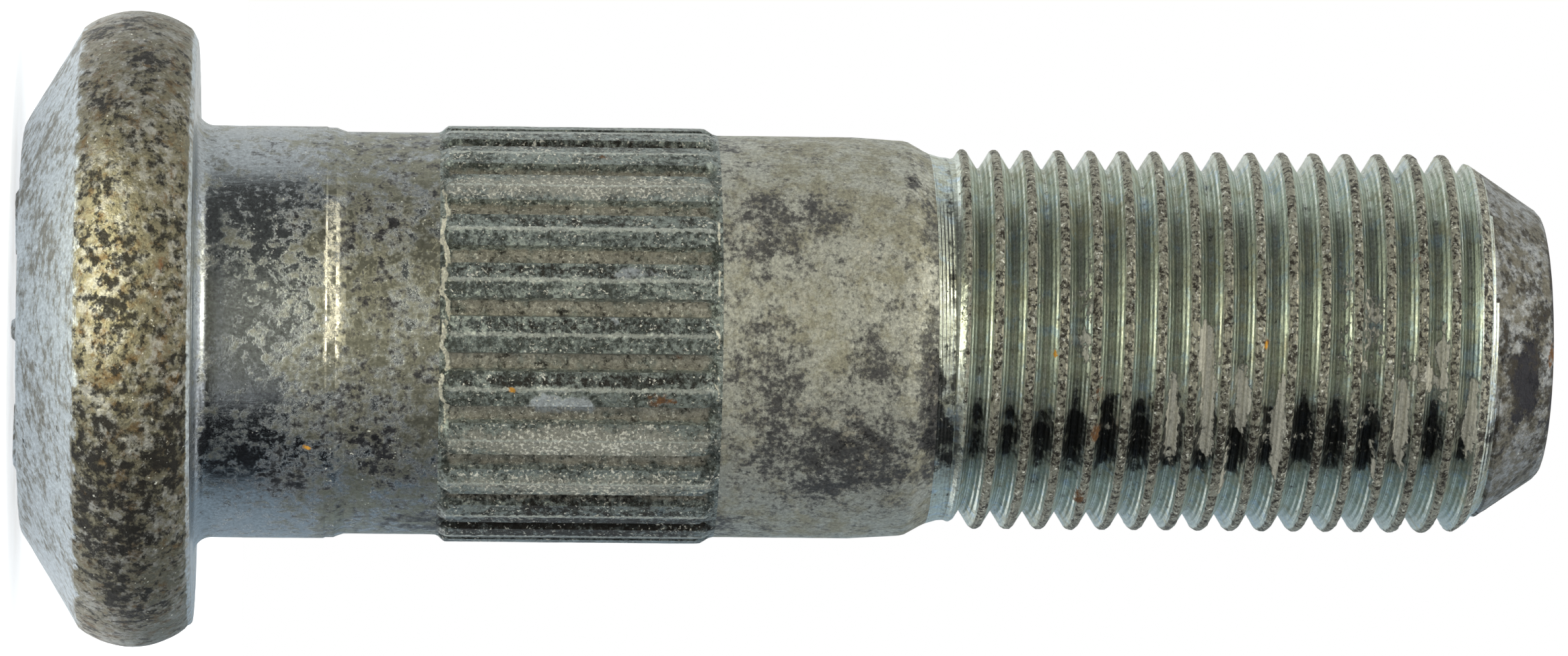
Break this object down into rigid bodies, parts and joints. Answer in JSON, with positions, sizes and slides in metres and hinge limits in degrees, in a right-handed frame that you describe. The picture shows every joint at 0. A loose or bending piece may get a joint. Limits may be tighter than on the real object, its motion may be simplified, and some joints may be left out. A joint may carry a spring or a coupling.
{
  "type": "wheel stud",
  "caption": "Headed press-in wheel stud with a barrel-rimmed conical head, a serrated band, a plain shank and a left-hand fine thread.",
  "frame": {"origin": "centre of the raised bars' top plane on the head's back face, which the stud stands on", "axes": "+Z along the stud's axis, from the head towards the threaded end"},
  "size_m": [0.0312, 0.0312, 0.0754],
  "materials": {
    "plated_steel": "worn zinc plate with stains and light rust"
  },
  "bodies": {
    "root": {"wheel_stud": "plated_steel"}
  },
  "joints": []
}
